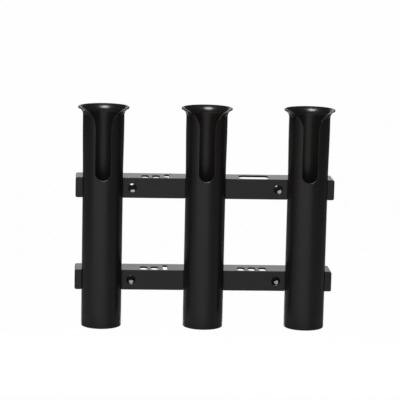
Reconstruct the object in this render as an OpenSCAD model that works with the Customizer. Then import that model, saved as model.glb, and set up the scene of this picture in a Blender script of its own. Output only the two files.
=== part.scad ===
// Wall-mounted rod rack: three flared tubes, screwed from behind to two open-backed rails.
// X runs to the right, Y runs back to the wall, Z runs up. The wall is the plane Y = 0.
// The origin is the middle of the four wall-screw holes, on the wall plane.

/* [Tubes] */
// Outer diameter of a tube
tube_od = 50; // [44:0.5:54]
// Thickness of the tube wall
tube_wall = 2.4; // [1.6:0.1:3.4]
// Length of a tube, from its lower end to the top of the lip
tube_length = 276.5; // [250:0.5:330]
// Distance from one tube's axis to the next
tube_pitch = 127.7; // [120:0.1:160]
// Height of the lower rail's middle above the tubes' lower ends
tube_below = 57.9; // [30:0.1:80]
// Rounding of the lower outer edge
foot_round = 1.4; // [0.4:0.1:1.5]

/* [Mouth] */
// Diameter over the lip of the flared mouth
rim_od = 63.5; // [58:0.5:68]
// Radius of the bell curve under the flare
flare_r = 9; // [7:0.5:12]
// Thickness of the rounded lip
lip_t = 3; // [2.6:0.1:3.6]
// Width of the front slot below the flare
stem_slot_w = 19; // [14:0.5:24]
// Depth of the front slot below the lip
stem_slot_depth = 90; // [60:1:120]
// Radius of the two curves that open the slot out to the lip
funnel_r = 25.4; // [20:0.2:32]

/* [Rails] */
// Height of a rail
rail_height = 25.4; // [22:0.2:34]
// Depth of a rail, from its front face to the wall
rail_depth = 38.6; // [36:0.2:50]
// Distance between the middles of the two rails
rail_spacing = 116.6; // [90:0.2:130]
// Length of a rail beyond the axis of the outer tube
rail_overhang = 33.8; // [31:0.1:45]
// Thickness of the front face and of the two ends
front_wall = 2.4; // [1.8:0.1:3.2]
// Thickness of the upper and lower flanges
flange_t = 2.2; // [1.6:0.1:3]
// Thickness of the ribs inside
rib_t = 1.8; // [1.2:0.1:2.4]
// Rounding of the corners of the ends, seen from the front
end_round = 2.4; // [1:0.1:3]
// Rounding of the long front edges
edge_round = 0.4; // [0.3:0.1:1.2]

/* [Tube seats] */
// Gap between a tube and its seat in the rail
seat_gap = 0.3; // [0.1:0.05:0.6]
// Thickness of the half-round seat behind the tube
seat_wall = 2.4; // [1.6:0.1:3]
// Width of the lug on the back of the tube
lug_w = 20; // [18:0.5:24]
// Gap round the lug in its pocket
lug_gap = 0.3; // [0.1:0.05:0.5]
// Thickness of the pocket's floor, which the screws clamp
pocket_floor = 2.6; // [2:0.1:3.2]
// Space between the pocket's floor and the wall, for the screw heads
head_space = 3; // [2.8:0.1:4]
// Thickness of the pocket's sides
pocket_side = 2; // [1.4:0.1:2.6]

/* [Tube screws] */
// Distance between the two screws of a seat
screw_pitch = 11; // [10:0.5:12]
// Diameter of the screw, over its thread
screw_d = 4; // [3:0.1:4.4]
// Diameter of the pan head
screw_head_d = 8; // [6.5:0.1:9]
// Height of the pan head
screw_head_h = 2.5; // [2:0.1:2.6]
// Width across the cross recess
recess_w = 4.6; // [3:0.1:5.2]
// Width of one arm of the recess
recess_arm = 1.1; // [0.8:0.1:1.4]
// Depth of the cross recess
recess_depth = 1.5; // [0.8:0.1:1.7]
// Gap round the screw in the pocket's floor
screw_gap = 0.25; // [0.1:0.05:0.4]
// Plastic left between the screw's point and the bore of the tube
screw_cover = 2; // [1.2:0.1:3]

/* [Wall screws] */
// Diameter of the hole for a wall screw
wall_hole_d = 5; // [4:0.1:6]
// Diameter of the deep counterbore for its head
wall_bore_d = 10.8; // [9:0.1:12]
// Chamfer round the mouth of the counterbore
bore_chamfer = 0.3; // [0.2:0.1:0.8]
// Thickness of the seat under the head, next to the wall
wall_seat = 2.6; // [2:0.1:4]
// Thickness of the boss round the counterbore
boss_wall = 2; // [1.4:0.1:2.6]
// Gap between the boss and the seat of the outer tube
boss_gap = 1.6; // [0.6:0.1:3]

/* [Tool slots] */
// Distance from a wall screw to the middle of the tool slots beside it
slot_offset = 29.65; // [28:0.05:32]
// Distance from one tool slot to the next
slot_pitch = 13.55; // [12.5:0.05:15]
// Width of a round-ended slot
slot_w = 9.5; // [6:0.1:10]
// Length of a round-ended slot, from front to back
slot_length = 20; // [14:0.5:28]
// Width of the square slot
square_slot_w = 5.8; // [4:0.1:8]
// Length of the square slot, from front to back
square_slot_length = 27.4; // [20:0.2:30]
// Width of the long slot, along the rail
long_slot_w = 37.4; // [30:0.2:38]
// Length of the long slot, from front to back
long_slot_length = 28; // [20:0.2:30]
// Corner radius of the long slot
long_slot_r = 6.5; // [3:0.1:8]

/* [Hook slot] */
// Length of the wide part of the hook slot, from front to back
hook_slot_length = 20; // [14:0.2:22]
// Width of the slit that runs on from it to the front
hook_slit_w = 2.2; // [1.5:0.1:2.6]
// Width of the small hole behind it
hook_hole_w = 2.6; // [2:0.1:3]
// Length of the small hole, from front to back
hook_hole_length = 6.4; // [4:0.1:7]
// Distance from the wall to the small hole
hook_hole_y = 1.2; // [1:0.1:1.8]

/* [Hidden] */

tube_black = "#1d1d1e";
rail_black = "#212122";
steel = "#c3c5c8";

// Cutting bodies run past the faces they cut by this much
past = 1;
// A lug starts this far inside the tube wall that carries it
lug_root = tube_wall / 4;
// A round face has this many sides in the preview
round_fn = 96;
small_fn = 48;

// The three tubes stand at -1, 0 and 1 pitches from the middle
left = -1;
middle = 0;
right = 1;
// The two rails lie half their spacing above and below the origin
upper = 1;
lower = -1;

tube_r = tube_od / 2;
bore_r = tube_r - tube_wall;
// The tube's axis lies in the plane of the rail's front face
axis_y = -rail_depth;
tube_foot_z = -rail_spacing / 2 - tube_below;

// The bell curve's middle line runs from the wall out to the lip's own round edge
lip_r = lip_t / 2;
bell_r = flare_r + tube_wall / 2;
bell_x = tube_r + flare_r;
lip_x = rim_od / 2 - lip_r;
bell_angle = acos((bell_x - lip_x) / bell_r);
bell_z = tube_length - lip_r - bell_r * sin(bell_angle);

half_length = tube_pitch + rail_overhang;
inner_height = rail_height - 2 * flange_t;
seat_r = tube_r + seat_gap;
seat_outer_r = seat_r + seat_wall;

floor_back_y = -head_space;
floor_front_y = floor_back_y - pocket_floor;
lug_h = inner_height - 2 * lug_gap;

// The screws lie beside the tube's axis, so their points stop short of the bore there
screw_x = screw_pitch / 2;
bore_back_y = axis_y + sqrt(bore_r * bore_r - screw_x * screw_x);
screw_tip_y = bore_back_y + screw_cover;
screw_length = floor_back_y - screw_tip_y;
point_length = screw_d / 2;
point_r = screw_d / 8;
// The head's top is a dome half as high as the head
head_dome_r = (screw_head_d * screw_head_d + screw_head_h * screw_head_h) / (4 * screw_head_h);
// The blind hole is a little wider and deeper than the screw
thread_gap = 0.1;

boss_r = wall_bore_d / 2 + boss_wall;
wall_screw_x = tube_pitch - seat_outer_r - boss_gap - boss_r;
slot_mid_x = wall_screw_x - slot_offset;
// Each group has room for three slots, and a rib stands beyond the third
slots_in_group = 3;
outer_rib_x = slot_mid_x - slots_in_group / 2 * slot_pitch;
slots_front_y = -rail_depth + front_wall;

// Rectangle with round corners, its middle at the origin
module round_rect(w, h, r) {
    square([w - 2 * r, h], center = true);
    square([w, h - 2 * r], center = true);
    for (sx = [-1, 1], sy = [-1, 1])
        translate([sx * (w / 2 - r), sy * (h / 2 - r)]) circle(r = r, $fn = small_fn);
}

// Half section of a tube's wall: straight up, out along the bell curve, and a round lip
module tube_section() {
    translate([bore_r, foot_round]) square([tube_wall, bell_z - foot_round]);
    translate([bore_r, 0]) square([tube_wall - foot_round, foot_round + past]);
    intersection() {
        translate([tube_r - foot_round, foot_round]) circle(r = foot_round, $fn = small_fn);
        translate([bore_r, 0]) square([tube_wall, foot_round]);
    }
    reach = 2 * (flare_r + tube_wall);
    translate([bell_x, bell_z]) intersection() {
        difference() {
            circle(r = flare_r + tube_wall, $fn = round_fn);
            circle(r = flare_r, $fn = round_fn);
        }
        polygon([
            [0, 0], [-reach, 0], [-reach, reach],
            [-reach * cos(bell_angle), reach * sin(bell_angle)]
        ]);
    }
    translate([lip_x, tube_length - lip_r]) circle(r = lip_r, $fn = small_fn);
}

// Front view of the opening in the mouth: a round-ended slot that flares out to the lip
module mouth_outline() {
    slot_r = stem_slot_w / 2;
    funnel_x = slot_r + funnel_r;
    translate([-slot_r, slot_r - stem_slot_depth])
        square([stem_slot_w, stem_slot_depth - slot_r + past]);
    translate([0, slot_r - stem_slot_depth]) circle(r = slot_r, $fn = small_fn);
    difference() {
        translate([-funnel_x, -funnel_r]) square([2 * funnel_x, funnel_r + past]);
        for (side = [-1, 1])
            translate([side * funnel_x, -funnel_r]) circle(r = funnel_r, $fn = round_fn);
    }
}

// Square lug on the back of the tube, which fills the rail's pocket
module tube_lug(rail) {
    lug_back = floor_front_y - axis_y;
    translate([0, 0, rail * rail_spacing / 2]) difference() {
        translate([-lug_w / 2, 0, -lug_h / 2]) cube([lug_w, lug_back, lug_h]);
        cylinder(r = tube_r - lug_root, h = rail_height, center = true, $fn = round_fn);
    }
}

// Blind hole that a screw cuts its thread in
module pilot_hole(rail, side) {
    hole_depth = floor_front_y - screw_tip_y + 2 * thread_gap;
    translate([side * screw_x, floor_front_y - axis_y, rail * rail_spacing / 2])
        rotate([90, 0, 0])
        translate([0, 0, -past])
        cylinder(d = screw_d + 2 * thread_gap, h = hole_depth + past, $fn = small_fn);
}

module rod_tube(place) {
    color(tube_black) translate([place * tube_pitch, axis_y, 0]) difference() {
        union() {
            translate([0, 0, tube_foot_z]) rotate_extrude($fn = round_fn) tube_section();
            for (rail = [lower, upper]) tube_lug(rail);
        }
        translate([0, 0, tube_foot_z + tube_length]) rotate([90, 0, 0])
            linear_extrude(rim_od / 2 + past) mouth_outline();
        for (rail = [lower, upper], side = [-1, 1]) pilot_hole(rail, side);
    }
}

// Rectangle from the wall line to the front, with its two front corners rounded
module front_rounded(depth, height) {
    translate([-depth + edge_round, -height / 2]) square([depth - edge_round, height]);
    translate([-depth, -height / 2 + edge_round]) square([depth, height - 2 * edge_round]);
    for (side = [-1, 1])
        translate([-depth + edge_round, side * (height / 2 - edge_round)])
            circle(r = edge_round, $fn = small_fn);
}

// Outer form of a rail: round ends in front view, round front edges in section and in plan
module rail_form() {
    intersection() {
        translate([0, past, 0]) rotate([90, 0, 0]) linear_extrude(rail_depth + 2 * past)
            round_rect(2 * half_length, rail_height, end_round);
        translate([-half_length - past, 0, 0]) rotate([90, 0, 90])
            linear_extrude(2 * (half_length + past)) front_rounded(rail_depth, rail_height);
        translate([0, 0, -rail_height / 2 - past]) linear_extrude(rail_height + 2 * past)
            rotate(90) front_rounded(rail_depth, 2 * half_length);
    }
}

module rib(x) {
    translate([x - rib_t / 2, -rail_depth + front_wall / 2, -rail_height / 2 + flange_t / 2])
        cube([rib_t, rail_depth - front_wall / 2, rail_height - flange_t]);
}

// Solid round a wall screw, from the front face to the wall
module wall_boss(side) {
    translate([side * wall_screw_x, 0, 0]) rotate([90, 0, 0])
        cylinder(r = boss_r, h = rail_depth - front_wall / 2, $fn = small_fn);
    rib(side * wall_screw_x);
}

module wall_screw_hole(side) {
    translate([side * wall_screw_x, past, 0]) rotate([90, 0, 0]) {
        cylinder(d = wall_hole_d, h = rail_depth, $fn = small_fn);
        translate([0, 0, wall_seat + past])
            cylinder(d = wall_bore_d, h = rail_depth, $fn = small_fn);
        translate([0, 0, rail_depth + past - bore_chamfer])
            cylinder(
                r1 = wall_bore_d / 2, r2 = wall_bore_d / 2 + bore_chamfer + past,
                h = bore_chamfer + past, $fn = small_fn
            );
    }
}

// Half-round seat and the block that holds the lug's pocket
module seat_solid(place) {
    block_w = lug_w + 2 * (lug_gap + pocket_side);
    block_h = rail_height - flange_t;
    // The block starts inside the round that is cut out for the tube
    block_front_y = axis_y + tube_r / 2;
    translate([place * tube_pitch, 0, 0]) {
        translate([0, axis_y, 0])
            cylinder(r = seat_outer_r, h = block_h, center = true, $fn = round_fn);
        translate([-block_w / 2, block_front_y, -block_h / 2])
            cube([block_w, floor_back_y - block_front_y, block_h]);
    }
}

module seat_cut(place) {
    pocket_w = lug_w + 2 * lug_gap;
    translate([place * tube_pitch, 0, 0]) {
        translate([0, axis_y, 0])
            cylinder(r = seat_r, h = rail_height + 2 * past, center = true, $fn = round_fn);
        translate([-pocket_w / 2, axis_y, -inner_height / 2])
            cube([pocket_w, floor_front_y - axis_y, inner_height]);
        for (side = [-1, 1])
            translate([side * screw_x, floor_back_y + past, 0]) rotate([90, 0, 0])
                cylinder(d = screw_d + 2 * screw_gap, h = pocket_floor + 2 * past, $fn = small_fn);
    }
}

module through_flanges() {
    translate([0, 0, -rail_height / 2 - past]) linear_extrude(rail_height + 2 * past) children();
}

module round_slot(x) {
    r = slot_w / 2;
    through_flanges() translate([x, slots_front_y]) {
        translate([-r, r]) square([slot_w, slot_length - slot_w]);
        for (y = [r, slot_length - r]) translate([0, y]) circle(r = r, $fn = small_fn);
    }
}

module square_slot(x) {
    through_flanges() translate([x - square_slot_w / 2, slots_front_y])
        square([square_slot_w, square_slot_length]);
}

module long_slot(x) {
    through_flanges() translate([x, slots_front_y + long_slot_length / 2])
        round_rect(long_slot_w, long_slot_length, long_slot_r);
}

// Slot for hanging hooked lures: a wide part, a slit to the front and a small hole behind
module hook_slot(x) {
    back_y = slots_front_y + square_slot_length;
    right_x = x + square_slot_w / 2;
    through_flanges() {
        translate([x - square_slot_w / 2, back_y - hook_slot_length])
            square([square_slot_w, hook_slot_length]);
        translate([right_x - hook_slit_w, slots_front_y])
            square([hook_slit_w, square_slot_length]);
        translate([right_x + hook_slit_w / 2, -hook_hole_y - hook_hole_length])
            square([hook_hole_w, hook_hole_length]);
    }
}

// Open-backed rail with the seats and bosses that both rails share
module rail(height_place) {
    color(rail_black) translate([0, 0, height_place * rail_spacing / 2]) difference() {
        intersection() {
            union() {
                difference() {
                    rail_form();
                    translate([-half_length + front_wall, -rail_depth + front_wall, -inner_height / 2])
                        cube([2 * (half_length - front_wall), rail_depth, inner_height]);
                }
                for (place = [left, middle, right]) seat_solid(place);
                for (side = [-1, 1]) wall_boss(side);
                for (side = [-1, 1]) rib(side * outer_rib_x);
                slot_ribs(height_place);
            }
            rail_form();
        }
        for (place = [left, middle, right]) seat_cut(place);
        for (side = [-1, 1]) wall_screw_hole(side);
        tool_slots(height_place);
    }
}

// Ribs between neighbouring slots; the long slot has none
module slot_ribs(height_place) {
    sides = height_place == upper ? [-1] : [-1, 1];
    for (side = sides, step = [-0.5, 0.5]) rib(side * (slot_mid_x + step * slot_pitch));
}

module tool_slots(height_place) {
    for (step = [0, 1]) round_slot(-slot_mid_x - step * slot_pitch);
    if (height_place == upper) {
        hook_slot(-slot_mid_x + slot_pitch);
        long_slot(slot_mid_x);
    } else {
        square_slot(-slot_mid_x + slot_pitch);
        for (step = [-1, 0, 1]) round_slot(slot_mid_x + step * slot_pitch);
    }
}

// Half section of a screw: pointed shank and a pan head with a domed top
module screw_section() {
    polygon([
        [0, -screw_length], [point_r, -screw_length],
        [screw_d / 2, point_length - screw_length], [screw_d / 2, screw_head_h / 2],
        [0, screw_head_h / 2]
    ]);
    intersection() {
        square([screw_head_d / 2, screw_head_h]);
        translate([0, screw_head_h - head_dome_r]) circle(r = head_dome_r, $fn = round_fn);
    }
}

// Pan-head screw with a cross recess, driven in from the wall side
module tube_screw(place, rail, side) {
    color(steel)
        translate([place * tube_pitch + side * screw_x, floor_back_y, rail * rail_spacing / 2])
        rotate([-90, 0, 0]) difference() {
            rotate_extrude($fn = small_fn) screw_section();
            for (turn = [0, 90])
                rotate(turn) translate([-recess_w / 2, -recess_arm / 2, screw_head_h - recess_depth])
                    cube([recess_w, recess_arm, recess_depth + past]);
        }
}

rod_tube(left);  // left_tube
rod_tube(middle);  // middle_tube
rod_tube(right);  // right_tube
rail(upper);  // upper_rail
rail(lower);  // lower_rail
tube_screw(left, upper, -1);  // screw_left_upper_1
tube_screw(left, upper, 1);  // screw_left_upper_2
tube_screw(left, lower, -1);  // screw_left_lower_1
tube_screw(left, lower, 1);  // screw_left_lower_2
tube_screw(middle, upper, -1);  // screw_middle_upper_1
tube_screw(middle, upper, 1);  // screw_middle_upper_2
tube_screw(middle, lower, -1);  // screw_middle_lower_1
tube_screw(middle, lower, 1);  // screw_middle_lower_2
tube_screw(right, upper, -1);  // screw_right_upper_1
tube_screw(right, upper, 1);  // screw_right_upper_2
tube_screw(right, lower, -1);  // screw_right_lower_1
tube_screw(right, lower, 1);  // screw_right_lower_2
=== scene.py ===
import math

import bmesh
import bpy
from mathutils import Matrix, Vector


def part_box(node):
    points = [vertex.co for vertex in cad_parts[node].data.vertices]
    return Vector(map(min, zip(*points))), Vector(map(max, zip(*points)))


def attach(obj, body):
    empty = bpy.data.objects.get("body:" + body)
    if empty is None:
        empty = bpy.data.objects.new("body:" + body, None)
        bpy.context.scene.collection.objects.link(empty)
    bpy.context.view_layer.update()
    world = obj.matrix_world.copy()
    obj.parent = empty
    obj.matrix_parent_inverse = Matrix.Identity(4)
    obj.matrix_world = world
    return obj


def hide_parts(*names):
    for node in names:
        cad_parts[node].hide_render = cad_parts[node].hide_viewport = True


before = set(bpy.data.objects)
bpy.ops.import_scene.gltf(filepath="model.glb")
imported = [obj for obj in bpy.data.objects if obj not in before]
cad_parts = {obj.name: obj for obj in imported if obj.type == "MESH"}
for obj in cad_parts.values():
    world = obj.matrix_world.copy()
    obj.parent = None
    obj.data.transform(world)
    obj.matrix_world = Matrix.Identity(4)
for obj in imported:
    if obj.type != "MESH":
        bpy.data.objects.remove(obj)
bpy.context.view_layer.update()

MM = 0.001

# Camera: where it stood for the photograph, in metres and degrees, in the rack's own frame
CAMERA_PLACE = Vector((-0.1441, -2.4092, 0.4416))
CAMERA_YAW = 3.323
CAMERA_PITCH = -9.505
CAMERA_ROLL = 1.243
CAMERA_LENS_MM = 173.86
CAMERA_SENSOR_MM = 36.0

# Studio: floor, backdrop and lamps, in metres from the rack's origin, watts and degrees
FLOOR_DROP = 0.55
FLOOR_FRONT = -5.0
FLOOR_HALF_WIDTH = 6.0
MAT_FRONT = -1.3
MAT_BACK = 1.2
MAT_HALF_WIDTH = 1.4
MAT_THICK = 0.002
BACKDROP_Y = 4.2
BACKDROP_HALF_WIDTH = 1.2
BACKDROP_HEIGHT = 3.0
WHITE = "#ffffff"
ROOM_GREY = "#383838"
PALE_PAPER = "#f0f0f0"
GREY_PAPER = "#8e8e8e"
# Share of the paper that glows white; the little that is left keeps the rack's shadow
PAPER_WHITE = 0.985
TOP_LAMP_PLACE = (-0.3, -1.0, 2.2)
TOP_LAMP_SIZE = (1.0, 1.0)
TOP_LAMP_WATTS = 60
REAR_LAMP_PLACE = (0, 1.5, 1.0)
REAR_LAMP_AIM = (0, 1.45, 0)
REAR_LAMP_SIZE = (1.6, 0.3)
REAR_LAMP_WATTS = 3
REAR_LAMP_SPREAD = 30
FRONT_LAMP_PLACE = (-0.8, -2.4, 0.2)
FRONT_LAMP_SIZE = (4.1, 1.4)
FRONT_LAMP_WATTS = 10

# Moulded plastic: black, and a shade lighter in places
TUBE_BLACK = "#181615"
TUBE_BLACK_LIGHTER = "#1c1a19"
RAIL_BLACK = "#171615"
RAIL_BLACK_LIGHTER = "#1b1a19"
PLASTIC_IOR = 1.49
# Roughness of the textured faces, and of the polished bores. The texture's range stays above about
# 0.274, because where it crosses that value the sheen shows hard-edged patches
ROUGH_MIN = 0.276
ROUGH_MAX = 0.306
BORE_ROUGH = 0.08
# Widths of the patches of tint and gloss, and of the grain. A fine eroded grain is about 0.1 mm
# wide, too fine to show, so it is drawn as coarse as it needs to show
TINT_PATCH = 35 * MM
GLOSS_PATCH = 12 * MM
GRAIN_WIDTH = 0.8 * MM
GRAIN_DEPTH = 0.02 * MM
GRAIN_STRENGTH = 0.06
SOFT_DETAIL = 2.0
GLOSS_DETAIL = 3.0
# Most of the noise lies between these two values
NOISE_LOW = 0.3
NOISE_HIGH = 0.7
# Place of the right upper wall-screw hole, and the radius that takes in its counterbore only
WALL_HOLE_X = 91 * MM
WALL_HOLE_Z = 58.3 * MM
BORE_REACH = 5.5 * MM

# Stainless steel of the screws
STEEL_GREY = "#c8c8c6"
STEEL_ROUGH = 0.3

# Tube: its wall, its foot, and the flared mouth with the slot and funnel cut in its front
WALL = 2.4 * MM
FOOT_ROUND = 0.9 * MM
BORE_EASE = 0.4 * MM
FLARE_R = 9 * MM
LIP_R = 1.5 * MM
SLOT_R = 9.5 * MM
SLOT_DEPTH = 90 * MM
FUNNEL_R = 25.4 * MM
# The slotted part eases outwards a little, from the upper rail up to the bell
EASE_OUT = 0.7 * MM
EASE_RISE = 65 * MM
# Rounding of the mouth's cut edges, nearly a full round, which runs out over the lip
CUT_ROUND = 1.1 * MM
CUT_FADE = 2.4 * MM
FACE_SHARE = 0.45

# Steps of the tube's mesh: round the wall, and up each stretch of it
COLUMNS = 96
BODY_ROWS = 10
SLOT_FOOT_ROWS = 12
SLOT_SIDE_ROWS = 12
FUNNEL_ROWS = 9
BELL_ROWS = 28
ROUND_STEPS = 6
FOOT_STEPS = 5
TUBE_SMOOTH_DEGREES = 35

# Lugs on the tube's back, and the blind holes for the screws
LUG_WIDTH = 20 * MM
LUG_HEIGHT = 20.4 * MM
LUG_ROOT = 0.15 * MM
LUG_ROUND = 0.5 * MM
LUG_ROUND_STEPS = 3
PILOT_R = 2.1 * MM
PILOT_SPARE = 0.2 * MM
PILOT_SIDES = 32

# Screws: pan head with a cross recess, and a thread that cuts its own way into plastic
HEAD_R = 4 * MM
HEAD_H = 2.5 * MM
HEAD_SIDE = 1.25 * MM
HEAD_RINGS = 7
HEAD_ROUND = 0.2 * MM
HEAD_ROUND_STEPS = 3
HEAD_SIDES = 48
RECESS_WIDTH = 4.6 * MM
RECESS_ARM = 1.1 * MM
RECESS_DEPTH = 1.5 * MM
RECESS_TAPER = 0.45
THREAD_R = 2 * MM
CORE_R = 1.4 * MM
THREAD_PITCH = 1.59 * MM
THREAD_STEPS = 24
THREAD_SUNK = 0.08 * MM
# Share of its height that the thread keeps at its two ends, which lie inside the core
THREAD_END = 0.06
POINT_H = 2 * MM
POINT_R = 0.5 * MM
SCREW_SMOOTH_DEGREES = 30

# How near two points are merged, and how near to a place an edge or a face counts as there
MERGE_DISTANCE = 0.01 * MM
NEAR = 0.08 * MM

RAILS = ("upper_rail", "lower_rail")

tube_low, tube_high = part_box("middle_tube")
AXIS_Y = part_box("lower_rail")[0].y
FOOT_Z, TOP_Z = tube_low.z, tube_high.z
LUG_BACK_Y = tube_high.y
TUBE_R = AXIS_Y - tube_low.y
RIM_R = (tube_high.x - tube_low.x) / 2
EASE_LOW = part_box("upper_rail")[1].z
SCREW_X = sum(corner.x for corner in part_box("screw_middle_upper_2")) / 2

# The bell curve's middle line runs from the wall out to the lip's round edge
BELL_R = FLARE_R + WALL / 2
BELL_X = TUBE_R + EASE_OUT + FLARE_R
LIP_X = RIM_R - LIP_R
LIP_Z = TOP_Z - LIP_R
BELL_ANGLE = math.acos((BELL_X - LIP_X) / BELL_R)
BELL_Z = LIP_Z - BELL_R * math.sin(BELL_ANGLE)


def linear(hex_colour):
    """An sRGB hex colour as linear red, green, blue and alpha."""
    channels = [int(hex_colour[i:i + 2], 16) / 255 for i in (1, 3, 5)]
    return [c / 12.92 if c <= 0.04045 else ((c + 0.055) / 1.055) ** 2.4 for c in channels] + [1.0]


def add_node(tree, kind, settings=(), inputs=(), links=()):
    """Adds one shader node with its settings, its input values and the links into it."""
    node = tree.nodes.new(kind)
    for name, value in dict(settings).items():
        setattr(node, name, value)
    for name, value in dict(inputs).items():
        node.inputs[name].default_value = value
    for name, socket in dict(links).items():
        tree.links.new(socket, node.inputs[name])
    return node


def new_material(name):
    """An empty node material and its output node."""
    material = bpy.data.materials.new(name)
    material.use_nodes = True
    material.node_tree.nodes.clear()
    output = add_node(material.node_tree, "ShaderNodeOutputMaterial")
    return material, material.node_tree, output


def inside_bores(tree, place):
    """1 inside the four wall-screw counterbores, by distance to the nearest axis, else 0."""
    mirrored = add_node(tree, "ShaderNodeVectorMath", {"operation": "ABSOLUTE"}, {}, {0: place})
    offset = add_node(tree, "ShaderNodeVectorMath", {"operation": "SUBTRACT"},
                      {1: (WALL_HOLE_X, 0, WALL_HOLE_Z)}, {0: mirrored.outputs[0]})
    across = add_node(tree, "ShaderNodeVectorMath", {"operation": "MULTIPLY"},
                      {1: (1, 0, 1)}, {0: offset.outputs[0]})
    distance = add_node(tree, "ShaderNodeVectorMath", {"operation": "LENGTH"},
                        {}, {0: across.outputs[0]})
    return add_node(tree, "ShaderNodeMath", {"operation": "LESS_THAN"}, {1: BORE_REACH},
                    {0: distance.outputs["Value"]}).outputs[0]


def moulded_plastic(name, colour, lighter):
    """Injection-moulded polypropylene with a fine eroded texture.

    It gives a satin black with a soft sheen and no sparkle. Polished core pins leave the screw
    bores glossier than the rest.
    """
    material, tree, output = new_material(name)
    place = add_node(tree, "ShaderNodeTexCoord").outputs["Object"]
    flow = add_node(tree, "ShaderNodeTexNoise", {},
                    {"Scale": 1 / TINT_PATCH, "Detail": SOFT_DETAIL}, {"Vector": place})
    tint = add_node(tree, "ShaderNodeMix", {"data_type": "RGBA"},
                    {"A": linear(colour), "B": linear(lighter)}, {"Factor": flow.outputs["Fac"]})
    gloss = add_node(tree, "ShaderNodeTexNoise", {},
                     {"Scale": 1 / GLOSS_PATCH, "Detail": GLOSS_DETAIL}, {"Vector": place})
    rough = add_node(tree, "ShaderNodeMapRange", {},
                     {"From Min": NOISE_LOW, "From Max": NOISE_HIGH,
                      "To Min": ROUGH_MIN, "To Max": ROUGH_MAX},
                     {"Value": gloss.outputs["Fac"]})
    bores = inside_bores(tree, place)
    gloss_or_bore = add_node(tree, "ShaderNodeMix", {}, {"B": BORE_ROUGH},
                             {"Factor": bores, "A": rough.outputs["Result"]})
    grain = add_node(tree, "ShaderNodeTexNoise", {},
                     {"Scale": 1 / GRAIN_WIDTH, "Detail": SOFT_DETAIL}, {"Vector": place})
    bump = add_node(tree, "ShaderNodeBump", {},
                    {"Strength": GRAIN_STRENGTH, "Distance": GRAIN_DEPTH},
                    {"Height": grain.outputs["Fac"]})
    shader = add_node(tree, "ShaderNodeBsdfPrincipled", {}, {"IOR": PLASTIC_IOR},
                      {"Base Color": tint.outputs["Result"],
                       "Roughness": gloss_or_bore.outputs["Result"],
                       "Normal": bump.outputs["Normal"]})
    tree.links.new(shader.outputs["BSDF"], output.inputs["Surface"])
    return material


def stainless_steel(name, colour):
    """Cold-headed stainless steel: bright, evenly satin."""
    material, tree, output = new_material(name)
    shader = add_node(tree, "ShaderNodeBsdfPrincipled", {},
                      {"Base Color": linear(colour), "Metallic": 1.0, "Roughness": STEEL_ROUGH})
    tree.links.new(shader.outputs["BSDF"], output.inputs["Surface"])
    return material


def studio_paper(name, colour, rays):
    """Matt paper, which to the rays named also glows as plain white."""
    material, tree, output = new_material(name)
    paper = add_node(tree, "ShaderNodeBsdfDiffuse", {}, {"Color": linear(colour)})
    glow = add_node(tree, "ShaderNodeEmission", {}, {"Color": linear(WHITE), "Strength": 1.0})
    path = add_node(tree, "ShaderNodeLightPath")
    total = path.outputs[rays[0]]
    for ray in rays[1:]:
        both = add_node(tree, "ShaderNodeMath", {"operation": "MAXIMUM"},
                        {}, {0: total, 1: path.outputs[ray]})
        total = both.outputs[0]
    seen = add_node(tree, "ShaderNodeMath", {"operation": "MULTIPLY"}, {1: PAPER_WHITE}, {0: total})
    mix = add_node(tree, "ShaderNodeMixShader", {}, {},
                   {0: seen.outputs[0], 1: paper.outputs[0], 2: glow.outputs[0]})
    tree.links.new(mix.outputs[0], output.inputs["Surface"])
    return material


def make_sheet(name, corners, material):
    """One flat sheet of the studio."""
    mesh = bpy.data.meshes.new(name)
    mesh.from_pydata(corners, [], [(0, 1, 2, 3)])
    sheet = bpy.data.objects.new(name, mesh)
    bpy.context.scene.collection.objects.link(sheet)
    mesh.materials.append(material)


def make_floor(name, half_width, front, back, height, colour):
    """One sheet of the floor: white to the camera, and of its own colour to the plastic."""
    w = half_width
    corners = [(-w, front, height), (w, front, height), (w, back, height), (-w, back, height)]
    make_sheet(name, corners, studio_paper(name + "_paper", colour, ["Is Camera Ray"]))


def make_backdrop():
    """A pale floor with a grey mat under the rack, and a white backdrop."""
    make_floor("floor", FLOOR_HALF_WIDTH, FLOOR_FRONT, BACKDROP_Y, -FLOOR_DROP, PALE_PAPER)
    make_floor("floor_mat", MAT_HALF_WIDTH, MAT_FRONT, MAT_BACK, MAT_THICK - FLOOR_DROP, GREY_PAPER)
    w, low, high = BACKDROP_HALF_WIDTH, -FLOOR_DROP, BACKDROP_HEIGHT
    corners = [(-w, BACKDROP_Y, low), (w, BACKDROP_Y, low),
               (w, BACKDROP_Y, high), (-w, BACKDROP_Y, high)]
    rays = ["Is Camera Ray", "Is Glossy Ray", "Is Transmission Ray"]
    make_sheet("backdrop", corners, studio_paper("backdrop_paper", PALE_PAPER, rays))


def make_world():
    """A grey room, which the camera sees as white."""
    world = bpy.data.worlds.new("studio")
    world.use_nodes = True
    tree = world.node_tree
    tree.nodes.clear()
    room = add_node(tree, "ShaderNodeBackground", {}, {"Color": linear(ROOM_GREY), "Strength": 1.0})
    white = add_node(tree, "ShaderNodeBackground", {}, {"Color": linear(WHITE), "Strength": 1.0})
    ray = add_node(tree, "ShaderNodeLightPath")
    mix = add_node(tree, "ShaderNodeMixShader", {}, {},
                   {0: ray.outputs["Is Camera Ray"], 1: room.outputs[0], 2: white.outputs[0]})
    add_node(tree, "ShaderNodeOutputWorld", {}, {}, {"Surface": mix.outputs[0]})
    bpy.context.scene.world = world


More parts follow.
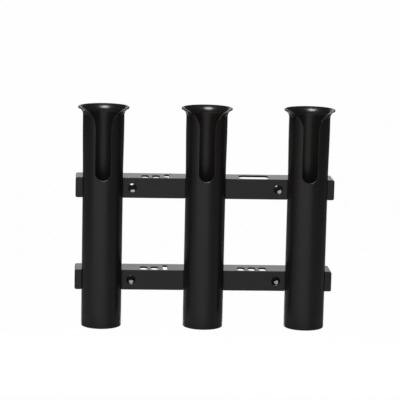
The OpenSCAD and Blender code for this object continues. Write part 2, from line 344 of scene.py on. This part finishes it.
def add_lamp(name, place, aim, size, watts):
    """A softbox that the camera doesn't see."""
    data = bpy.data.lights.new(name, "AREA")
    data.shape = "RECTANGLE"
    data.size, data.size_y = size
    data.energy = watts
    lamp = bpy.data.objects.new(name, data)
    bpy.context.scene.collection.objects.link(lamp)
    lamp.location = place
    lamp.rotation_euler = (Vector(aim) - Vector(place)).to_track_quat("-Z", "Y").to_euler()
    lamp.visible_camera = False
    return lamp


def make_camera():
    data = bpy.data.cameras.new("camera")
    data.sensor_width = CAMERA_SENSOR_MM
    data.lens = CAMERA_LENS_MM
    camera = bpy.data.objects.new("camera", data)
    bpy.context.scene.collection.objects.link(camera)
    camera.matrix_world = (Matrix.Translation(CAMERA_PLACE)
                           @ Matrix.Rotation(math.radians(-CAMERA_YAW), 4, "Z")
                           @ Matrix.Rotation(math.radians(90 + CAMERA_PITCH), 4, "X")
                           @ Matrix.Rotation(math.radians(CAMERA_ROLL), 4, "Z"))
    bpy.context.scene.camera = camera


def choose(piece):
    """Makes one object the selected and active one."""
    bpy.ops.object.select_all(action="DESELECT")
    piece.select_set(True)
    bpy.context.view_layer.objects.active = piece


def edit(piece, parts, wanted, *steps):
    """Selects verts, edges or faces by their middle's place, and runs edit-mode steps on them."""
    choose(piece)
    bpy.ops.object.mode_set(mode="EDIT")
    bpy.ops.mesh.select_mode(type={"verts": "VERT", "edges": "EDGE", "faces": "FACE"}[parts])
    bpy.ops.mesh.select_all(action="DESELECT")
    mesh = bmesh.from_edit_mesh(piece.data)
    for part in getattr(mesh, parts):
        corners = [part] if parts == "verts" else part.verts
        middle = sum((corner.co for corner in corners), Vector()) / len(corners)
        if wanted(middle):
            part.select_set(True)
    mesh.select_flush_mode()
    bmesh.update_edit_mesh(piece.data)
    for step in steps:
        step()
    bpy.ops.object.mode_set(mode="OBJECT")


def everywhere(place):
    return True


def merge_and_face_out():
    bpy.ops.mesh.remove_doubles(threshold=MERGE_DISTANCE)
    bpy.ops.mesh.normals_make_consistent(inside=False)


def join(pieces, name):
    """Joins objects into the first of them."""
    choose(pieces[0])
    for piece in pieces:
        piece.select_set(True)
    bpy.ops.object.join()
    pieces[0].name = name
    return pieces[0]


def combine(piece, other, operation):
    """Adds another solid to a piece, or takes it away, and deletes the other."""
    choose(piece)
    boolean = piece.modifiers.new("combine", "BOOLEAN")
    boolean.operation = operation
    boolean.solver = "EXACT"
    boolean.object = other
    bpy.ops.object.modifier_apply(modifier=boolean.name)
    bpy.data.objects.remove(other)


def box_piece(size, place):
    """A cube made to a size, at its place."""
    bpy.ops.object.select_all(action="DESELECT")
    bpy.ops.mesh.primitive_cube_add(size=1, location=place)
    piece = bpy.context.active_object
    piece.scale = size
    bpy.ops.object.transform_apply()
    return piece


def rod_piece(sides, radius, length, place, turn=(0, 0, 0)):
    """A round bar at its place, centred there."""
    bpy.ops.object.select_all(action="DESELECT")
    bpy.ops.mesh.primitive_cylinder_add(vertices=sides, radius=radius, depth=length,
                                        location=place, rotation=turn)
    bpy.ops.object.transform_apply()
    return bpy.context.active_object


class Skin:
    """Half section of one skin of the tube: up the wall, out along the bell and round the lip."""

    def __init__(self, outer):
        self.radius = TUBE_R if outer else TUBE_R - WALL
        self.bend = FLARE_R if outer else FLARE_R + WALL
        reach = self.bend ** 2 + BELL_R ** 2 - LIP_R ** 2
        lip_angle = math.acos(reach / (2 * self.bend * BELL_R))
        self.bell = self.bend * (BELL_ANGLE - lip_angle)
        self.straight = BELL_Z - FOOT_Z
        r, z = self.on_bell(self.bell)
        self.lip_start = math.atan2(z - LIP_Z, r - LIP_X)
        self.lip_turn = math.pi / 2 - self.lip_start
        self.length = self.straight + self.bell + LIP_R * abs(self.lip_turn)

    def on_bell(self, length):
        turn = length / self.bend
        return BELL_X - self.bend * math.cos(turn), BELL_Z + self.bend * math.sin(turn)

    def at(self, length):
        """Radius and height of the point this far up the skin."""
        if length <= self.straight:
            rise = max(0, min(1, (FOOT_Z + length - EASE_LOW) / EASE_RISE))
            return self.radius + EASE_OUT * rise ** 2 * (3 - 2 * rise), FOOT_Z + length
        length -= self.straight
        if length <= self.bell:
            return self.on_bell(length)
        turn = self.lip_start + math.copysign((length - self.bell) / LIP_R, self.lip_turn)
        return LIP_X + LIP_R * math.cos(turn), LIP_Z + LIP_R * math.sin(turn)

    def point(self, turn, length):
        """Point of the skin at a turn about the tube's axis, from straight ahead to the right."""
        r, z = self.at(length)
        return Vector((r * math.sin(turn), AXIS_Y - r * math.cos(turn), z))


def cut_half_width(depth):
    """Half width of the mouth's opening at a depth below the lip, seen from the front."""
    if depth < FUNNEL_R:
        return SLOT_R + FUNNEL_R - math.sqrt(FUNNEL_R ** 2 - (FUNNEL_R - depth) ** 2)
    below_middle = max(0, depth - SLOT_DEPTH + SLOT_R)
    return math.sqrt(max(0, SLOT_R ** 2 - below_middle ** 2))


def cut_round(skin, length):
    """Size of the cut edge's rounding this far up a skin."""
    left = min(1, (skin.length - length) / CUT_FADE)
    return CUT_ROUND * math.sqrt(left * (2 - left))


def cut_lengths(skin):
    """How far up a skin each row of the cut lies, from the slot's foot to the top of the lip."""
    depths = [SLOT_DEPTH - SLOT_R * (1 - math.cos(math.pi / 2 * step / SLOT_FOOT_ROWS))
              for step in range(SLOT_FOOT_ROWS + 1)]
    straight = SLOT_DEPTH - SLOT_R - FUNNEL_R
    depths += [FUNNEL_R + straight * (1 - step / SLOT_SIDE_ROWS)
               for step in range(1, SLOT_SIDE_ROWS + 1)]
    funnel_turn = math.asin((FUNNEL_R - (TOP_Z - BELL_Z)) / FUNNEL_R)
    depths += [FUNNEL_R * (1 - math.sin(funnel_turn * step / FUNNEL_ROWS))
               for step in range(1, FUNNEL_ROWS + 1)]
    lengths = [TOP_Z - depth - FOOT_Z for depth in depths]
    rest = skin.length - skin.straight
    return lengths + [skin.straight + rest * step / BELL_ROWS for step in range(1, BELL_ROWS + 1)]


def cut_lines(skin):
    """The cut's corner on a skin, and that line drawn back by the rounding, as (turn, length)."""
    corner = []
    for length in cut_lengths(skin):
        r, z = skin.at(length)
        corner.append((math.asin(min(1, cut_half_width(TOP_Z - z) / r)), length))
    drawn_back = []
    for i, (turn, length) in enumerate(corner):
        before = corner[i - 1] if i else (-corner[1][0], corner[1][1])
        after = corner[min(i + 1, len(corner) - 1)]
        r = skin.at(length)[0]
        way = Vector((r * (after[0] - before[0]), after[1] - before[1])).normalized()
        back = cut_round(skin, length)
        drawn_back.append((turn + back * way.y / r, length - back * way.x))
    return corner, drawn_back


def shaped_sheet(name, across, along, place):
    """A grid whose points are each put in their place by column and row."""
    bpy.ops.object.select_all(action="DESELECT")
    bpy.ops.mesh.primitive_grid_add(x_subdivisions=across, y_subdivisions=along, size=1)
    piece = bpy.context.active_object
    piece.name = name
    for point in piece.data.vertices:
        column = round((point.co.x + 0.5) * across)
        row = round((point.co.y + 0.5) * along)
        point.co = place(column, row)
    return piece


def skin_sheet(skin, drawn_back, ease):
    """One skin of the wall, all round, from the foot's rounding up to the lip."""
    first = drawn_back[0][1]
    rows = [(0, ease + (first - ease) * step / BODY_ROWS) for step in range(BODY_ROWS)] + drawn_back

    def place(column, row):
        start, length = rows[row]
        return skin.point(start + 2 * (math.pi - start) * column / COLUMNS, length)

    return shaped_sheet("skin", COLUMNS, len(rows) - 1, place)


def rounding(skin_point, corner, face_point):
    """Points of a soft corner from the skin to the cut face."""
    steps = [step / ROUND_STEPS for step in range(ROUND_STEPS + 1)]
    return [(1 - s) ** 2 * skin_point + 2 * s * (1 - s) * corner + s ** 2 * face_point
            for s in steps]


def cut_strip(outer, inner, outer_lines, inner_lines):
    """The cut edge, round at its two corners, down one side of the mouth and up the other."""
    sections = []
    for out_corner, out_back, in_corner, in_back in zip(*outer_lines, *inner_lines):
        near, far = outer.point(*out_corner), inner.point(*in_corner)
        wall = far - near
        step = wall.normalized() * min(cut_round(outer, out_corner[1]), wall.length * FACE_SHARE)
        sections.append(rounding(outer.point(*out_back), near, near + step)
                        + rounding(inner.point(*in_back), far, far - step)[::-1])
    last = len(sections) - 1

    def place(column, row):
        point = sections[abs(row - last)][column].copy()
        if row < last:
            point.x = -point.x
        return point

    return shaped_sheet("cut_edge", len(sections[0]) - 1, 2 * last, place)


def foot_sheet():
    """The tube's lower end: round outside, flat, and eased into the bore."""
    turns = [math.pi / 2 * step / FOOT_STEPS for step in range(FOOT_STEPS + 1)]
    bore_r = TUBE_R - WALL
    outline = [(TUBE_R - FOOT_ROUND * (1 - math.cos(a)), FOOT_Z + FOOT_ROUND * (1 - math.sin(a)))
               for a in turns]
    outline += [(bore_r + BORE_EASE * (1 - math.sin(a)), FOOT_Z + BORE_EASE * (1 - math.cos(a)))
                for a in turns]

    def place(column, row):
        r, z = outline[row]
        turn = 2 * math.pi * column / COLUMNS
        return Vector((r * math.sin(turn), AXIS_Y - r * math.cos(turn), z))

    return shaped_sheet("foot", COLUMNS, len(outline) - 1, place)


def add_lug(tube, height):
    """One square lug behind the tube, with soft edges and the two blind holes for its screws."""
    root_y = AXIS_Y + TUBE_R - WALL + LUG_ROOT
    lug = box_piece((LUG_WIDTH, LUG_BACK_Y - root_y, LUG_HEIGHT),
                    (0, (root_y + LUG_BACK_Y) / 2, height))
    edit(lug, "edges", lambda place: place.y > root_y + LUG_ROOT,
         lambda: bpy.ops.mesh.bevel(offset=LUG_ROUND, segments=LUG_ROUND_STEPS, affect="EDGES"))
    combine(tube, lug, "UNION")
    depth = LUG_BACK_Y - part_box("screw_middle_upper_1")[0].y + PILOT_SPARE
    for x in (-SCREW_X, SCREW_X):
        hole = rod_piece(PILOT_SIDES, PILOT_R, 2 * depth, (x, LUG_BACK_Y, height),
                         (math.pi / 2, 0, 0))
        combine(tube, hole, "DIFFERENCE")


def make_tube():
    """One moulded tube in mid-rack: its skins, cut edge, foot and lugs in one closed mesh."""
    outer, inner = Skin(True), Skin(False)
    outer_lines, inner_lines = cut_lines(outer), cut_lines(inner)
    tube = join([
        skin_sheet(outer, outer_lines[1], FOOT_ROUND),
        skin_sheet(inner, inner_lines[1], BORE_EASE),
        cut_strip(outer, inner, outer_lines, inner_lines),
        foot_sheet(),
    ], "tube")
    edit(tube, "faces", everywhere, merge_and_face_out)
    for rail in RAILS:
        low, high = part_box(rail)
        add_lug(tube, (low.z + high.z) / 2)
    bpy.ops.object.shade_smooth_by_angle(angle=math.radians(TUBE_SMOOTH_DEGREES))
    return tube


def make_head():
    """Pan head on Z = 0: a disc whose top face is drawn up into a dome, less a tapered cross."""
    head = rod_piece(HEAD_SIDES, HEAD_R, HEAD_SIDE, (0, 0, HEAD_SIDE / 2))
    dome_r = (HEAD_R ** 2 + HEAD_H ** 2 / 4) / HEAD_H

    def raise_dome():
        r, z = HEAD_R, HEAD_SIDE
        for ring in range(1, HEAD_RINGS):
            next_r = HEAD_R * (1 - ring / HEAD_RINGS)
            next_z = HEAD_H - dome_r + math.sqrt(dome_r ** 2 - next_r ** 2)
            bpy.ops.mesh.extrude_region_move(TRANSFORM_OT_translate={"value": (0, 0, next_z - z)})
            bpy.ops.transform.resize(value=(next_r / r, next_r / r, 1))
            r, z = next_r, next_z

    def on_rim(place):
        at_shoulder = abs(place.z - HEAD_SIDE) < NEAR and place.xy.length > HEAD_R - NEAR
        return place.z < NEAR or at_shoulder

    edit(head, "faces", lambda place: place.z > HEAD_SIDE - NEAR, raise_dome)
    edit(head, "edges", on_rim,
         lambda: bpy.ops.mesh.bevel(offset=HEAD_ROUND, segments=HEAD_ROUND_STEPS, affect="EDGES"))
    for size in ((RECESS_WIDTH, RECESS_ARM), (RECESS_ARM, RECESS_WIDTH)):
        arm = box_piece((*size, 2 * RECESS_DEPTH), (0, 0, HEAD_H))
        edit(arm, "faces", lambda place: place.z < HEAD_H - RECESS_DEPTH / 2,
             lambda: bpy.ops.transform.resize(value=(RECESS_TAPER, RECESS_TAPER, 1)))
        combine(head, arm, "DIFFERENCE")
    return head


def make_core(length):
    """Plain core of the shank below Z = 0, drawn in to its point."""
    core = rod_piece(THREAD_STEPS, CORE_R, length - POINT_H + HEAD_SIDE,
                     (0, 0, (HEAD_SIDE - length + POINT_H) / 2))

    def draw_point():
        bpy.ops.mesh.extrude_region_move(TRANSFORM_OT_translate={"value": (0, 0, -POINT_H)})
        bpy.ops.transform.resize(value=(POINT_R / CORE_R, POINT_R / CORE_R, 1))

    edit(core, "faces", lambda place: place.z < POINT_H - length + NEAR, draw_point)
    return core


def make_thread(length):
    """The thread's ridge: a three-cornered section wound up the shank, dying out at both ends."""
    bpy.ops.object.select_all(action="DESELECT")
    bpy.ops.mesh.primitive_circle_add(vertices=3, radius=1)
    ridge = bpy.context.active_object
    half = THREAD_PITCH / 2 - THREAD_SUNK
    foot = CORE_R - THREAD_SUNK
    for point, (x, z) in zip(ridge.data.vertices, ((foot, -half), (THREAD_R, 0), (foot, half))):
        point.co = (x, 0, z - length + POINT_H / 2)
    turns = int((length - POINT_H / 2) / THREAD_PITCH)
    choose(ridge)
    wind = ridge.modifiers.new("wind", "SCREW")
    wind.screw_offset = THREAD_PITCH
    wind.iterations = turns
    wind.steps = wind.render_steps = THREAD_STEPS
    bpy.ops.object.modifier_apply(modifier=wind.name)
    low = POINT_H / 2 - length
    high = low + turns * THREAD_PITCH
    for point in ridge.data.vertices:
        r = point.co.xy.length
        rise, drop = point.co.z - low, high - point.co.z
        fade = max(THREAD_END, min(1, rise / POINT_H, drop / THREAD_PITCH))
        # The ridge's foot stays sunk in the core, also down the core's point
        taper = (CORE_R - POINT_R) * max(0, POINT_H - length - point.co.z) / POINT_H
        shrink = (foot - taper + (r - foot) * fade) / r
        point.co.x *= shrink
        point.co.y *= shrink
    # The ridge's two open ends are closed
    edit(ridge, "verts", lambda place: False, bpy.ops.mesh.select_non_manifold, bpy.ops.mesh.fill)
    edit(ridge, "faces", everywhere, merge_and_face_out)
    return ridge


def make_screw():
    """One screw along -Z, with the underside of its head on Z = 0."""
    low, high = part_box("screw_middle_upper_1")
    length = high.y - low.y - HEAD_H
    screw = make_head()
    combine(screw, make_core(length), "UNION")
    combine(screw, make_thread(length), "UNION")
    edit(screw, "faces", everywhere, merge_and_face_out)
    bpy.ops.object.shade_smooth_by_angle(angle=math.radians(SCREW_SMOOTH_DEGREES))
    return screw


def copy_piece(piece, name, move, material, node):
    """A copy of a piece with its own mesh, in its place, that stands for one node of the frame."""
    copy = bpy.data.objects.new(name, piece.data.copy())
    bpy.context.scene.collection.objects.link(copy)
    copy.data.transform(move)
    copy.data.materials.clear()
    copy.data.materials.append(material)
    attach(copy, "root")
    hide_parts(node)


def place_tubes(material):
    tube = make_tube()
    for side in ("left", "middle", "right"):
        low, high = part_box(side + "_tube")
        move = Matrix.Translation(((low.x + high.x) / 2, 0, 0))
        copy_piece(tube, side + "_moulded_tube", move, material, side + "_tube")
    bpy.data.objects.remove(tube)


def place_screws(material):
    screw = make_screw()
    for node in [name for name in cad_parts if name.startswith("screw")]:
        low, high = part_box(node)
        middle = (low + high) / 2
        move = (Matrix.Translation((middle.x, high.y - HEAD_H, middle.z))
                @ Matrix.Rotation(-math.pi / 2, 4, "X"))
        name = node.replace("screw", "threaded_screw")
        copy_piece(screw, name, move, material, node)
    bpy.data.objects.remove(screw)


make_camera()
make_world()
make_backdrop()
add_lamp("top_softbox", TOP_LAMP_PLACE, (0, 0, 0), TOP_LAMP_SIZE, TOP_LAMP_WATTS)
add_lamp("front_softbox", FRONT_LAMP_PLACE, (0, 0, 0), FRONT_LAMP_SIZE, FRONT_LAMP_WATTS)
rear_lamp = add_lamp("rear_softbox", REAR_LAMP_PLACE, REAR_LAMP_AIM, REAR_LAMP_SIZE,
                     REAR_LAMP_WATTS)
# The plastic doesn't mirror the rear lamp itself, only the floor that it lights
rear_lamp.visible_glossy = False
rear_lamp.data.spread = math.radians(REAR_LAMP_SPREAD)

place_tubes(moulded_plastic("moulded_polypropylene_tubes", TUBE_BLACK, TUBE_BLACK_LIGHTER))
place_screws(stainless_steel("stainless_steel", STEEL_GREY))
rail_plastic = moulded_plastic("moulded_polypropylene_rails", RAIL_BLACK, RAIL_BLACK_LIGHTER)
for rail in RAILS:
    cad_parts[rail].material_slots[0].material = rail_plastic

bpy.context.scene.view_settings.view_transform = "Standard"
bpy.context.view_layer.update()
